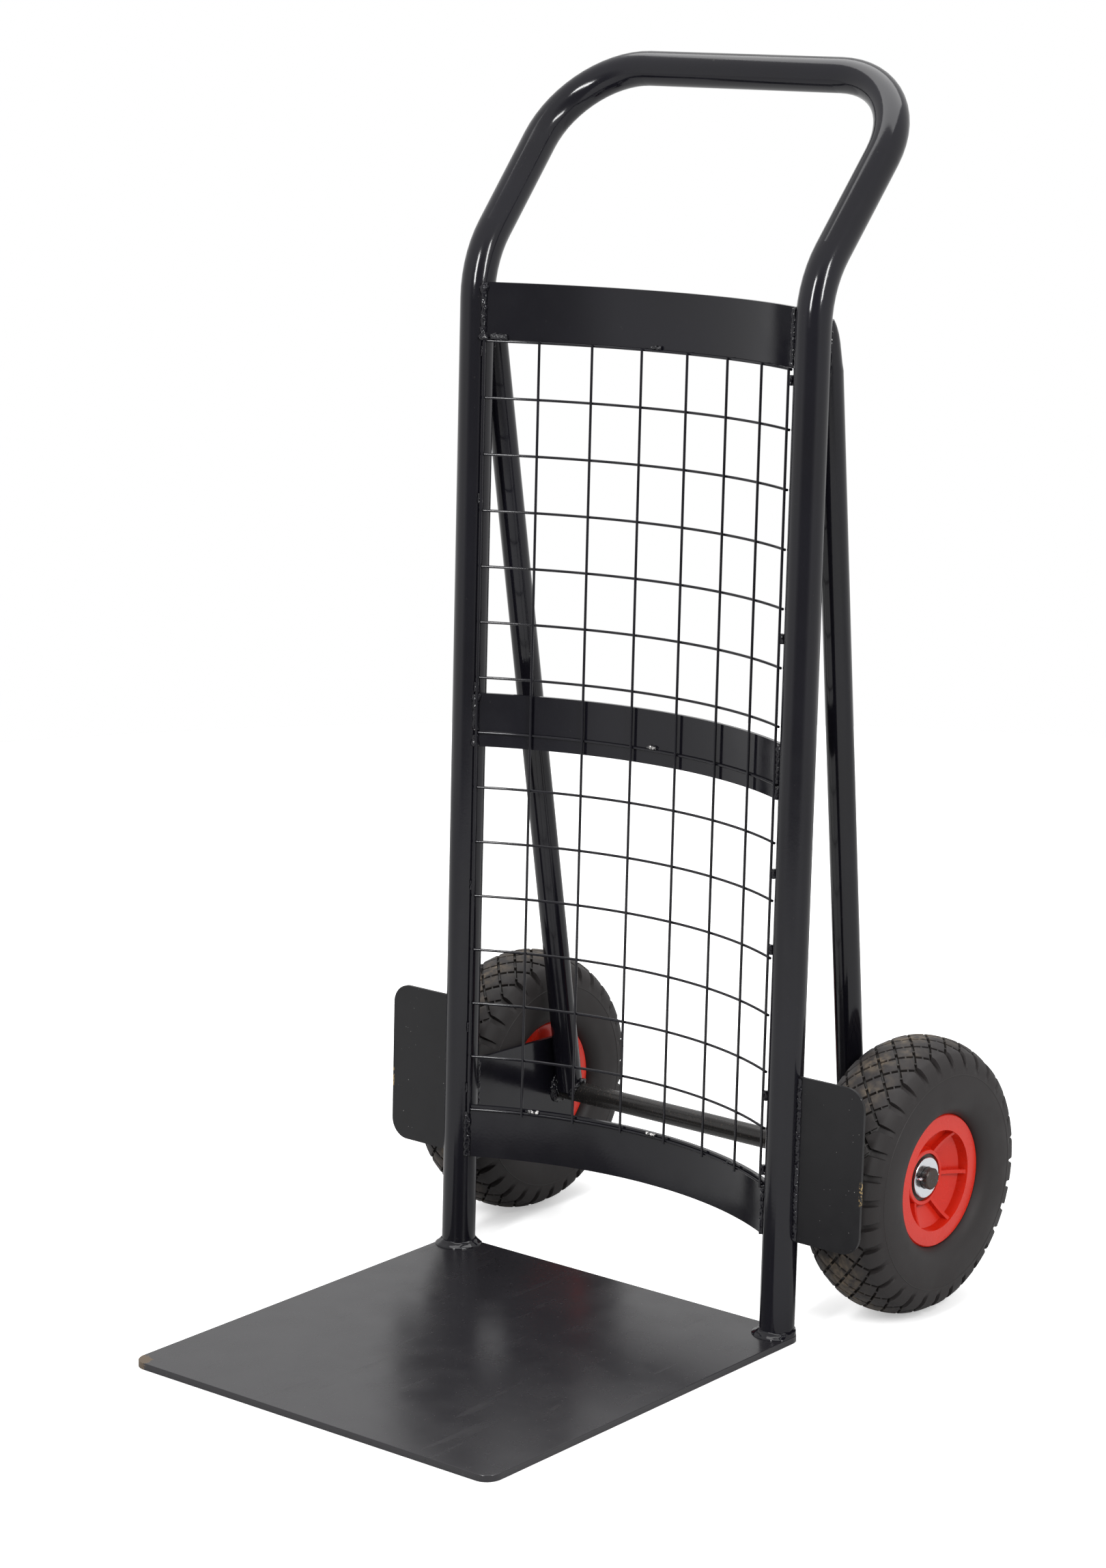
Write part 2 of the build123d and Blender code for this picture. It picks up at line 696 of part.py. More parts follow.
# split pins: a shank through the axle with an eye at its front end and two spread tips
pin_middle = Vector(pin_position, axle_y, axle_z)
pin_plane = Plane(origin=pin_middle, x_dir=(1, 0, 0), z_dir=pin_dir)
shank_front = axle_radius + 3.5
shank_back = axle_radius + 1.5
eye_radius = 1.9
eye_wire = 0.7
tip_length = 5.0
tip_spread = 0.8
with BuildPart() as split_pin:
    with BuildSketch(pin_plane.offset(-shank_front)):
        Circle(pin_radius)
    extrude(amount=shank_front + shank_back)
    eye_centre = pin_middle - pin_dir * (shank_front + eye_radius)
    with BuildSketch(Plane(origin=eye_centre + Vector(eye_radius, 0, 0), x_dir=(1, 0, 0), z_dir=pin_dir)):
        Circle(eye_wire)
    revolve(axis=Axis(eye_centre, Vector(1, 0, 0).cross(pin_dir)))
    for side in sides:
        tip_start = pin_middle + pin_dir * (shank_back - pin_radius / 2)
        tip_dir = pin_dir + Vector(0, -pin_dir.Z, pin_dir.Y) * side * tip_spread
        with BuildSketch(Plane(origin=tip_start, z_dir=tip_dir)):
            Circle(pin_radius / 2)
        extrude(amount=tip_length)
save_pair(split_pin.part, "split_pin")
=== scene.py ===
import json
import math

import bmesh
import bpy
import numpy as np
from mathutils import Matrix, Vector, noise


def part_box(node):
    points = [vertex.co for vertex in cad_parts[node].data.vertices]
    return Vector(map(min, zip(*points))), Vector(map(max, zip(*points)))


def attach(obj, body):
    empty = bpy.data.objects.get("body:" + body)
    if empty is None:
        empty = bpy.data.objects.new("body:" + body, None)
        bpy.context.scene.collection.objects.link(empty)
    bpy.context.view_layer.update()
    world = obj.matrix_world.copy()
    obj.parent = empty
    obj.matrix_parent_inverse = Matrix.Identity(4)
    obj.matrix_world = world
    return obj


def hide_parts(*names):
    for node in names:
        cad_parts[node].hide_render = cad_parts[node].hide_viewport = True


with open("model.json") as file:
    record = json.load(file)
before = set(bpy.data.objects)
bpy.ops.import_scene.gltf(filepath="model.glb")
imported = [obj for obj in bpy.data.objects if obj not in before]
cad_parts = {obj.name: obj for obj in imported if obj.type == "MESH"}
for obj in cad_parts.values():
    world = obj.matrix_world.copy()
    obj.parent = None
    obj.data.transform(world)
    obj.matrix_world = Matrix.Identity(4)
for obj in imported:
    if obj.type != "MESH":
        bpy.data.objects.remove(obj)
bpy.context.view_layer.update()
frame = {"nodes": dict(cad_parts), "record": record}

# Looks of a two-wheeled hand truck.  Metres, in the frame of the CAD model:
# floor at Z = 0, toe plate towards -Y, wheels and handle towards +Y, right side is +X.
MM = 0.001


def middle_of(node):
    low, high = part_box(node)
    return (low + high) / 2


# ---------------------------------------------------------------- node trees
class Shader:
    """A node material that is put together by short calls."""

    def __init__(self, name):
        self.material = bpy.data.materials.new(name)
        self.material.use_nodes = True
        self.tree = self.material.node_tree
        self.surface = self.tree.nodes["Principled BSDF"]
        self.place = self.add("ShaderNodeTexCoord").outputs["Object"]

    def add(self, kind, **settings):
        node = self.tree.nodes.new(kind)
        for key, value in settings.items():
            setattr(node, key, value)
        return node

    def join(self, value, socket):
        """Links a socket, or sets a number or a colour of three values."""
        if isinstance(value, bpy.types.NodeSocket):
            self.tree.links.new(value, socket)
        elif isinstance(value, tuple):
            socket.default_value = (*value, 1.0)
        else:
            socket.default_value = value

    def noise_at(self, place, scale, detail):
        texture = self.add("ShaderNodeTexNoise")
        texture.inputs["Scale"].default_value = scale
        texture.inputs["Detail"].default_value = detail
        self.join(place, texture.inputs["Vector"])
        return texture.outputs["Fac"]

    def noise(self, scale, detail=2.0, stretch=(1, 1, 1), seed=0.0):
        mapping = self.add("ShaderNodeMapping")
        mapping.inputs["Scale"].default_value = stretch
        mapping.inputs["Location"].default_value = (seed, seed, seed)
        self.join(self.place, mapping.inputs["Vector"])
        return self.noise_at(mapping.outputs["Vector"], scale, detail)

    def slanted_noise(self, scale, detail, tilt, squeeze):
        """Noise drawn out into streaks that slant across the Y-Z plane."""
        mapping = self.add("ShaderNodeMapping", vector_type="TEXTURE")
        mapping.inputs["Rotation"].default_value = (tilt, 0.0, 0.0)
        mapping.inputs["Scale"].default_value = (1.0, 1.0 / squeeze, 1.0)
        self.join(self.place, mapping.inputs["Vector"])
        return self.noise_at(mapping.outputs["Vector"], scale, detail)

    def cells(self, scale, output="Distance"):
        texture = self.add("ShaderNodeTexVoronoi")
        texture.inputs["Scale"].default_value = scale
        self.join(self.place, texture.inputs["Vector"])
        return texture.outputs[output]

    def math(self, operation, a, b=0.0):
        node = self.add("ShaderNodeMath", operation=operation)
        for value, socket in zip((a, b), node.inputs):
            self.join(value, socket)
        return node.outputs[0]

    def times(self, a, b):
        return self.math("MULTIPLY", a, b)

    def plus(self, a, b):
        return self.math("ADD", a, b)

    def fit(self, value, low, high, to_low=0.0, to_high=1.0):
        """A smooth step from to_low at low to to_high at high."""
        node = self.add("ShaderNodeMapRange", interpolation_type="SMOOTHSTEP")
        for setting, socket in zip((value, low, high, to_low, to_high), node.inputs):
            self.join(setting, socket)
        return node.outputs[0]

    def mix(self, factor, a, b):
        node = self.add("ShaderNodeMix", data_type="RGBA")
        for value, socket in zip((factor, a, b), (node.inputs[0], node.inputs[6], node.inputs[7])):
            self.join(value, socket)
        return node.outputs[2]

    def near(self, point):
        """Distance from a point of the object."""
        node = self.add("ShaderNodeVectorMath", operation="DISTANCE")
        self.join(self.place, node.inputs[0])
        node.inputs[1].default_value = point
        return node.outputs["Value"]

    def axis_value(self, axis):
        node = self.add("ShaderNodeSeparateXYZ")
        self.join(self.place, node.inputs[0])
        return node.outputs[axis]

    def attribute(self, name):
        return self.add("ShaderNodeAttribute", attribute_name=name).outputs["Fac"]

    def bump(self, height, distance, strength=1.0):
        """Adds one more layer of bump over those that are there."""
        node = self.add("ShaderNodeBump")
        node.inputs["Strength"].default_value = strength
        node.inputs["Distance"].default_value = distance
        self.join(height, node.inputs["Height"])
        before = self.surface.inputs["Normal"]
        if before.is_linked:
            self.join(before.links[0].from_socket, node.inputs["Normal"])
        self.join(node.outputs["Normal"], before)

    def finish(self, colour, roughness, **constants):
        self.join(colour, self.surface.inputs["Base Color"])
        self.join(roughness, self.surface.inputs["Roughness"])
        for key, value in constants.items():
            self.surface.inputs[key].default_value = value
        return self.material


# ---------------------------------------------------------------- materials
# Colours are linear.  Noise scales are per metre, bump distances are in metres.
PAINT = (0.004, 0.00375, 0.005)
PAINT_CLOUD = (0.006, 0.00575, 0.0095)
PAINT_DUST = (0.04, 0.038, 0.036)
PAINT_IOR = 1.42


def powder_coat(name, gloss=0.13, peel=0.03 * MM, seed=0.0):
    """Gloss black powder coat: orange peel, faint cloudiness and a little dust."""
    s = Shader(name)
    cloud = s.noise(9.0, 3.0, seed=seed)
    dust = s.fit(s.noise(300.0, 3.0, seed=seed + 1), 0.68, 0.78, 0.0, 0.2)
    colour = s.mix(dust, s.mix(cloud, PAINT, PAINT_CLOUD), PAINT_DUST)
    patches = s.noise(38.0, 4.0, seed=seed + 2)
    shine = s.fit(patches, 0.3, 0.7, gloss * 0.85, gloss * 1.25)
    roughness = s.plus(shine, s.times(dust, 0.4))
    s.bump(s.noise(420.0, 2.0, seed=seed + 3), peel, 0.6)
    s.bump(s.noise(2600.0, 1.0, seed=seed + 4), 0.01 * MM, 0.3)
    return s.finish(colour, roughness, IOR=PAINT_IOR)


GUARD_PAINT = (0.004, 0.004, 0.0048)
GUARD_CLOUD = (0.008, 0.0075, 0.0088)
GUARD_SPECK = (0.3, 0.29, 0.28)
BARE_EDGE = (0.42, 0.3, 0.14)
GUARD_IOR = 1.4
WORN_SHARE = 0.385


def guard_paint(name):
    """The same paint laid thinner on the sheet guards: flatter, with bare flecks on the edge."""
    low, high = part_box("right_wheel_guard")
    s = Shader(name)
    paint = s.mix(s.noise(14.0, 4.0), GUARD_PAINT, GUARD_CLOUD)
    side = s.math("ABSOLUTE", s.axis_value("X"))
    edge = s.fit(side, high.x - 2.2 * MM, high.x - 0.8 * MM)
    worn_height = low.z + WORN_SHARE * (high.z - low.z)
    from_worn = s.math("ABSOLUTE", s.math("SUBTRACT", s.axis_value("Z"), worn_height))
    stretch = s.fit(from_worn, 5 * MM, 13 * MM, 1.0, 0.0)
    chips = s.fit(s.noise(420.0, 3.0, seed=2.0), 0.52, 0.56)
    bare = s.times(s.times(edge, stretch), chips)
    specks = s.fit(s.noise(620.0, 1.0, seed=5.0), 0.79, 0.82)
    colour = s.mix(bare, s.mix(specks, paint, GUARD_SPECK), BARE_EDGE)
    roughness = s.fit(s.noise(60.0, 4.0), 0.3, 0.7, 0.34, 0.46)
    s.bump(s.noise(900.0, 3.0), 0.04 * MM, 0.6)
    s.bump(s.noise(230.0, 2.0), 0.05 * MM, 0.5)
    s.join(bare, s.surface.inputs["Metallic"])
    return s.finish(colour, roughness, IOR=GUARD_IOR)


TOE_PAINT = (0.011, 0.0103, 0.0122)
TOE_CLOUD = (0.016, 0.015, 0.0178)
TOE_DUST = (0.045, 0.043, 0.042)
PINHOLE = (0.002, 0.002, 0.002)
WORN_STEEL = (0.085, 0.06, 0.038)
TOE_IOR = 1.5
PINHOLE_SCALE = 170.0


def toe_plate_paint(name):
    """Satin black sheet: pinholes, fine scuffs, dust, and a corner worn to brown steel."""
    low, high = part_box("toe_plate")
    s = Shader(name)
    paint = s.mix(s.noise(5.0, 5.0), TOE_PAINT, TOE_CLOUD)
    dots = s.fit(s.cells(PINHOLE_SCALE), 0.10, 0.17, 1.0, 0.0)
    clusters = s.fit(s.noise(11.0, 2.0, seed=7.0), 0.42, 0.6)
    picked = s.fit(s.cells(PINHOLE_SCALE, "Color"), 0.35, 0.5, 0.0, 1.0)
    pinholes = s.times(s.times(dots, clusters), picked)
    scratches = s.noise(90.0, 6.0, stretch=(1.0, 0.12, 1.0), seed=3.0)
    scuffs = s.fit(scratches, 0.62, 0.74, 0.0, 0.3)
    dust = s.fit(s.noise(240.0, 4.0, seed=9.0), 0.66, 0.76, 0.0, 0.25)
    corner_point = (low.x + 6 * MM, low.y + 4 * MM, high.z)
    corner = s.fit(s.near(corner_point), 5 * MM, 20 * MM, 0.95, 0.0)
    front = s.fit(s.axis_value("Y"), low.y + 0.5 * MM, low.y + 1.6 * MM, 0.36, 0.0)
    worn_at = s.math("MAXIMUM", corner, front)
    worn = s.fit(s.plus(s.noise(300.0, 5.0, seed=4.0), worn_at), 1.04, 1.14)
    colour = s.mix(dust, paint, TOE_DUST)
    colour = s.mix(pinholes, colour, PINHOLE)
    colour = s.mix(worn, colour, WORN_STEEL)
    shine = s.fit(s.noise(26.0, 5.0, seed=6.0), 0.3, 0.7, 0.22, 0.28)
    roughness = s.plus(shine, s.times(s.plus(scuffs, dust), 0.25))
    roughness = s.math("MAXIMUM", roughness, s.times(worn, 0.6))
    s.bump(s.noise(160.0, 3.0), 0.05 * MM, 0.5)
    s.bump(pinholes, 0.3 * MM, -1.0)
    s.bump(worn, 0.1 * MM, -1.0)
    return s.finish(colour, roughness, IOR=TOE_IOR)


ZINC_DIM = (0.66, 0.69, 0.74)
ZINC_BRIGHT = (0.84, 0.86, 0.88)
# painted reflection: the dark blue of the diagonal streaks across the zinc
ZINC_PAINTED_REFLECTION = (0.15, 0.17, 0.235)
REFLECTION_STREAK_TILT = math.radians(-52)


def zinc(name):
    """Bright blue-white zinc plate: dark blue diagonal streaks painted in as reflections, and
    handling marks.
    """
    s = Shader(name)
    patch = s.noise(130.0, 4.0)
    # painted reflection: dark blue diagonal streaks mixed into the zinc's colour
    painted_reflection_streaks = s.fit(s.slanted_noise(120.0, 3.0, REFLECTION_STREAK_TILT, 0.12), 0.56, 0.68)
    colour = s.mix(s.times(painted_reflection_streaks, 0.85), s.mix(patch, ZINC_DIM, ZINC_BRIGHT), ZINC_PAINTED_REFLECTION)
    marks = s.fit(s.noise(700.0, 4.0, stretch=(1.0, 1.0, 0.15)), 0.55, 0.75, 0.0, 0.1)
    roughness = s.plus(s.fit(patch, 0.3, 0.7, 0.13, 0.22), marks)
    s.bump(s.noise(160.0, 2.0), 0.12 * MM, 0.5)
    s.bump(s.noise(1100.0, 3.0), 0.02 * MM, 0.6)
    return s.finish(colour, roughness, Metallic=1.0)


AXLE_PAINT = (0.014, 0.013, 0.0125)
AXLE_STEEL = (0.07, 0.055, 0.048)


def axle_steel(name):
    """Axle: black paint, rubbed through to brown steel at the ends."""
    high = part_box("axle")[1]
    s = Shader(name)
    side = s.math("ABSOLUTE", s.axis_value("X"))
    end = s.fit(side, high.x - 9 * MM, high.x - 1 * MM)
    patch = s.fit(s.plus(s.noise(420.0, 5.0), s.times(end, 0.22)), 0.58, 0.74)
    roughness = s.fit(patch, 0.0, 1.0, 0.24, 0.5)
    s.bump(s.noise(500.0, 4.0), 0.06 * MM, 0.7)
    s.join(s.times(patch, 0.7), s.surface.inputs["Metallic"])
    return s.finish(s.mix(patch, AXLE_PAINT, AXLE_STEEL), roughness)


RUBBER = (0.0135, 0.0115, 0.0116)
RUBBER_CLOUD = (0.0225, 0.0195, 0.0195)
SOIL = (0.13, 0.1, 0.068)
# painted shade: the darker colour laid into the tread grooves by their depth
GROOVE_PAINTED_SHADE = (0.012, 0.0105, 0.009)
RUBBER_IOR = 1.38


def rubber(name):
    """Black tyre rubber: fine grain, grooves darkened by their depth as painted shade, brown dust
    on the crown's blocks.
    """
    s = Shader(name)
    groove = s.attribute("groove")
    crown = s.attribute("crown")
    cloud = s.noise(22.0, 5.0)
    patches = s.fit(s.noise(40.0, 5.0, seed=3.0), 0.36, 0.6)
    smear = s.fit(s.noise(170.0, 5.0, stretch=(1.0, 1.0, 0.35), seed=5.0), 0.3, 0.7)
    soil = s.times(s.times(crown, patches), s.times(smear, 0.95))
    colour = s.mix(soil, s.mix(cloud, RUBBER, RUBBER_CLOUD), SOIL)
    # painted shade: the grooves are darkened in proportion to how deep they are cut
    colour = s.mix(s.times(groove, 0.6), colour, GROOVE_PAINTED_SHADE)
    dull = s.fit(cloud, 0.3, 0.7, 0.52, 0.66)
    roughness = s.math("SUBTRACT", dull, s.times(groove, 0.12))
    s.bump(s.noise(2200.0, 2.0), 0.03 * MM, 0.6)
    s.bump(s.noise(340.0, 3.0), 0.08 * MM, 0.35)
    return s.finish(colour, roughness, IOR=RUBBER_IOR)


RED = (0.53, 0.014, 0.005)
RED_CLOUD = (0.62, 0.023, 0.008)
RED_DUST = (0.42, 0.1, 0.07)
RED_IOR = 1.44


def red_plastic(name):
    """Semi-gloss red moulding with flow marks, dull dust and a soft grain."""
    s = Shader(name)
    red = s.mix(s.noise(34.0, 4.0), RED, RED_CLOUD)
    dust = s.fit(s.noise(210.0, 4.0, seed=2.0), 0.62, 0.8, 0.0, 0.2)
    shine = s.fit(s.noise(60.0, 4.0, seed=1.0), 0.3, 0.7, 0.2, 0.3)
    roughness = s.plus(shine, s.times(dust, 0.5))
    s.bump(s.noise(500.0, 3.0), 0.03 * MM, 0.5)
    s.bump(s.noise(70.0, 2.0), 0.1 * MM, 0.3)
    return s.finish(s.mix(dust, red, RED_DUST), roughness, IOR=RED_IOR)


TACK_STEEL = (0.34, 0.33, 0.32)
TACK_BRIGHT = (0.62, 0.61, 0.6)
TACK_PAINT = (0.009, 0.009, 0.011)


def tack_metal(name):
    """Plate tacks: weld metal half covered by paint, all painted on top and on the right."""
    s = Shader(name)
    cover = s.fit(s.noise(420.0, 4.0, seed=8.0), 0.46, 0.56)
    top_row = s.fit(s.axis_value("Z"), 0.8, 0.82)
    right_side = s.fit(s.axis_value("X"), 0.04, 0.06)
    covered = s.math("MAXIMUM", cover, s.math("MAXIMUM", top_row, right_side))
    steel = s.mix(s.noise(700.0, 3.0), TACK_STEEL, TACK_BRIGHT)
    roughness = s.fit(covered, 0.0, 1.0, 0.28, 0.1)
    s.bump(covered, 0.12 * MM, 0.8)
    s.bump(s.noise(900.0, 3.0), 0.1 * MM, 0.7)
    s.join(s.math("SUBTRACT", 1.0, covered), s.surface.inputs["Metallic"])
    return s.finish(s.mix(covered, steel, TACK_PAINT), roughness)


CAGE_DARK = (0.028, 0.02, 0.017)
CAGE_LIGHT = (0.06, 0.042, 0.034)


def bearing_plastic(name):
    """Dull brown-black bearing cage."""
    s = Shader(name)
    cloud = s.noise(160.0, 4.0)
    roughness = s.fit(cloud, 0.3, 0.7, 0.35, 0.55)
    s.bump(s.noise(900.0, 3.0), 0.04 * MM, 0.6)
    return s.finish(s.mix(cloud, CAGE_DARK, CAGE_LIGHT), roughness)


bead_paint = powder_coat("weld_powder_coat", gloss=0.05, seed=20.0)
collar_paint = powder_coat("collar_powder_coat", gloss=0.08, peel=0.02 * MM, seed=40.0)
tack_paint = tack_metal("tack_metal")
guard_coat = guard_paint("guard_powder_coat")
tyre_rubber = rubber("tyre_rubber")
slot_material = {
    "frame_paint": powder_coat("frame_powder_coat"),
    "toe_plate_paint": toe_plate_paint("toe_plate_coat"),
    "axle_paint": axle_steel("axle_finish"),
    "zinc_steel": zinc("zinc_plate"),
    "tyre": tyre_rubber,
    "rim": red_plastic("rim_plastic"),
    "bearing": bearing_plastic("bearing_plastic"),
}
slot_of = {part["node"]: part["material_slot"] for part in frame["record"]["subparts"]}
for node_name, cad_object in frame["nodes"].items():
    is_guard = node_name.endswith("wheel_guard")
    finish = guard_coat if is_guard else slot_material[slot_of[node_name]]
    for material_slot in cad_object.material_slots:
        material_slot.material = finish


# ---------------------------------------------------------------- mesh helpers
def mark_sharp(mesh, degrees):
    """Smooth shading with edges kept sharp where faces meet at more than an angle."""
    work = bmesh.new()
    work.from_mesh(mesh)
    limit = math.radians(degrees)
    for face in work.faces:
        face.smooth = True
    for edge in work.edges:
        edge.smooth = len(edge.link_faces) == 2 and edge.calc_face_angle() < limit
    work.to_mesh(mesh)
    work.free()


def new_piece(name, mesh, material, body, node):
    """Puts a finished mesh into the scene, riding on a body and standing for a CAD node."""
    mesh.materials.clear()
    mesh.materials.append(material)
    piece = bpy.data.objects.new(name, mesh)
    bpy.context.scene.collection.objects.link(piece)
    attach(piece, body)
    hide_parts(node)


# ---------------------------------------------------------------- tyres
tyre_low, tyre_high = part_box("right_tyre")
# a hair smaller than the CAD tyre, whose flat facets lie just inside its true circle
TYRE_RADIUS = (tyre_high.z - tyre_low.z) / 2 - 0.03 * MM
TYRE_HALF_WIDTH = (tyre_high.x - tyre_low.x) / 2

# the section: a superellipse down to the rim, then the lip and the seat behind the rim,
# each as (distance from the middle plane, radius)
SECTION_CENTRE = 85.1 * MM
SECTION_POWER = 2.38
SECTION_STEPS = 900
SECTION_END = 71 * MM
LIP_POINTS = ((37.5 * MM, 65.0 * MM), (31.8 * MM, 62.3 * MM))
INNER_WALL = ((27.2 * MM, 62.3 * MM), (27.2 * MM, 50.6 * MM), (0.0, 50.6 * MM))

# the tread: diamond blocks between crossing grooves, three rows to each side of the middle
PITCHES = 32
ROW = 11.0 * MM
TREAD_EDGE = 3 * ROW
PITCH_LENGTH = 2 * math.pi * TYRE_RADIUS / PITCHES
SLOPE = 2 * ROW / PITCH_LENGTH
SQUARE_ON = 1 / math.hypot(1, SLOPE)
GROOVE_HALF = 1.35 * MM
GROOVE_FLOOR_HALF = 0.85 * MM
GROOVE_DEPTH = 2.9 * MM
TIE_HALF = 0.7 * MM
TIE_WALL = 0.35 * MM
TIE_DROP = 0.5 * MM
EDGE_ROUND = 0.3 * MM

# the shoulder: gaps between raised lugs, widths as shares of a pitch, fades as arc lengths
GAP_HALF = 0.15
GAP_FLOOR_HALF = 0.11
GAP_DEPTH = 3.6 * MM
GAP_FADE = (33.0 * MM, 34.5 * MM, 37.0 * MM, 50.0 * MM)
LUG_RISE = 1.5 * MM
LUG_FADE = (30.0 * MM, 35.0 * MM, 43.0 * MM, 52.0 * MM)
LUG_FULL = 3.3 * ROW

# the raised mould line on the sidewall
MOULD_LINE = 55.4 * MM
MOULD_HALF = 0.5 * MM
MOULD_HEIGHT = 0.35 * MM

# where the flat cell is cut across, where the crown's dust ends, and how deep and how far the
# grooves' painted shade reaches
COLUMNS = (0, 0.25, 0.5, 0.75, 1)
SHOULDER_ROWS = (34.5, 36, 38, 40, 43, 46, 49, 52)
WALL_ROWS = 11
SLOPE_STEP = 0.4 * MM
CROWN_END = 2.6 * ROW
BLOCK_TOP = 1 * MM
GROOVE_SHADE_DEPTH = 2 * MM
GROOVE_SHADE_FADE = 1.5 * MM
TYRE_CREASE = 32


def tyre_profile():
    """Arc length from the crown, offset from the middle plane and radius, down one side."""
    height = TYRE_RADIUS - SECTION_CENTRE
    angles = np.linspace(0, math.pi, SECTION_STEPS)
    side = TYRE_HALF_WIDTH * np.abs(np.sin(angles)) ** (2 / SECTION_POWER)
    up = np.sign(np.cos(angles)) * np.abs(np.cos(angles)) ** (2 / SECTION_POWER)
    radius = SECTION_CENTRE + height * up
    keep = radius > SECTION_END
    side = np.concatenate([side[keep], [p[0] for p in LIP_POINTS]])
    radius = np.concatenate([radius[keep], [p[1] for p in LIP_POINTS]])
    arc = np.concatenate([[0], np.cumsum(np.hypot(np.diff(side), np.diff(radius)))])
    return arc, side, radius


def ramp(value, low, high):
    """0 below low, 1 above high, straight in between."""
    return np.clip((value - low) / (high - low), 0, 1)


def groove_depth(turn, arc):
    """Depth of the crossing grooves, with a shallow tie between neighbouring blocks."""
    depth = np.zeros_like(turn)
    rounding = np.zeros_like(turn)
    for hand in (1, -1):
        along = arc - hand * 2 * ROW * turn
        off_line = (along + ROW) % (2 * ROW) - ROW
        distance = np.abs(off_line) * SQUARE_ON
        across = (arc + hand * 2 * ROW * turn) % (2 * ROW) - ROW
        tie = ramp(np.abs(across) * SQUARE_ON, TIE_HALF, TIE_HALF + TIE_WALL)
        open_depth = TIE_DROP + (GROOVE_DEPTH - TIE_DROP) * tie
        cut = 1 - ramp(distance, GROOVE_FLOOR_HALF, GROOVE_HALF)
        depth = np.maximum(depth, open_depth * cut)
        edge = 1 - ramp(distance, GROOVE_HALF, GROOVE_HALF + EDGE_ROUND)
        rounding = np.maximum(rounding, edge)
    tread = arc < TREAD_EDGE + 1e-7
    return np.where(tread, depth + EDGE_ROUND * 0.5 * rounding * (depth < 1e-6), 0)


def carve(turn, arc):
    """How deep the tread is cut at a share of one pitch and an arc length from the crown."""
    from_gap = np.abs((turn % 1.0) - 0.5)
    from_tip = arc + 2 * ROW * from_gap
    beyond_tip = (from_tip - TREAD_EDGE) * SQUARE_ON + GROOVE_HALF
    gap = 1 - ramp(from_gap, GAP_FLOOR_HALF, GAP_HALF)
    gap = gap * ramp(beyond_tip, 0, GROOVE_HALF - GROOVE_FLOOR_HALF)
    start, full, hold, end = GAP_FADE
    gap_depth = GROOVE_DEPTH + (GAP_DEPTH - GROOVE_DEPTH) * ramp(arc, start, full)
    gap_depth = gap_depth * (1 - ramp(arc, hold, end))
    start, full, hold, end = LUG_FADE
    rise = ramp(arc, start, full) * (1 - ramp(arc, hold, end))
    lug = rise * ramp(from_gap, GAP_FLOOR_HALF, GAP_HALF) * ramp(from_tip, TREAD_EDGE, LUG_FULL)
    return np.maximum(groove_depth(turn, arc), gap * gap_depth) - LUG_RISE * lug


def cut_cell():
    """One pitch of one side of the tyre as a flat mesh: x is the turn, y the arc length."""
    arc, _, _ = tyre_profile()
    rows = [i * ROW / 2 for i in range(7)]
    rows += [row * MM for row in SHOULDER_ROWS]
    rows += [MOULD_LINE + step * MOULD_HALF for step in (-2, -1, 0, 1)]
    rows += list(np.linspace(MOULD_LINE + 3 * MM, arc[-1], WALL_ROWS))
    cell = bmesh.new()
    grid = [[cell.verts.new((c * PITCH_LENGTH, r, 0)) for c in COLUMNS] for r in rows]
    for low_row, high_row in zip(grid, grid[1:]):
        for i in range(len(COLUMNS) - 1):
            cell.faces.new((low_row[i], low_row[i + 1], high_row[i + 1], high_row[i]))

    def cut(point, normal, limit):
        faces = [f for f in cell.faces if f.calc_center_median().y < limit]
        edges = list({e for f in faces for e in f.edges})
        verts = list({v for f in faces for v in f.verts})
        bmesh.ops.bisect_plane(cell, geom=verts + edges + faces, dist=1e-7,
                               plane_co=point, plane_no=normal)

    def cut_pairs(middle, offsets, normal):
        for offset in offsets:
            for sign in (1, -1):
                cut((0, middle + sign * offset / SQUARE_ON, 0), normal, TREAD_EDGE)

    for hand in (1, -1):
        normal = Vector((-hand * SLOPE, 1, 0)).normalized()
        for step in range(-1, 4):
            line = 2 * ROW * step
            cut_pairs(line, (GROOVE_FLOOR_HALF, GROOVE_HALF, GROOVE_HALF + EDGE_ROUND), normal)
            cut_pairs(line + ROW, (TIE_HALF, TIE_HALF + TIE_WALL), normal)
    for offset in (-GAP_HALF, -GAP_FLOOR_HALF, GAP_FLOOR_HALF, GAP_HALF):
        cut(((0.5 + offset) * PITCH_LENGTH, 0, 0), (1, 0, 0), MOULD_LINE)
    bmesh.ops.remove_doubles(cell, verts=cell.verts, dist=1e-6)
    bmesh.ops.triangulate(cell, faces=[f for f in cell.faces if len(f.verts) > 4])
    cell.verts.index_update()
    points = np.array([(v.co.x / PITCH_LENGTH, v.co.y) for v in cell.verts])
    faces = [[v.index for v in f.verts] for f in cell.faces]
    cell.free()
    return points[:, 0], points[:, 1], faces


def carved_section(run, depth):
    """Offset from the middle plane and radius at each arc length, with the tread cut in."""
    arc, side, radius = tyre_profile()
    before, after = run - SLOPE_STEP, run + SLOPE_STEP
    ds = np.interp(after, arc, side) - np.interp(before, arc, side)
    dr = np.interp(after, arc, radius) - np.interp(before, arc, radius)
    length = np.hypot(ds, dr)
    ridge = MOULD_HEIGHT * (1 - ramp(np.abs(run - MOULD_LINE), 0, MOULD_HALF))
    lift = ridge - depth
    offset = np.interp(run, arc, side) + lift * (-dr / length)
    offset[run < 1e-7] = 0
    return offset, np.interp(run, arc, radius) + lift * (ds / length)


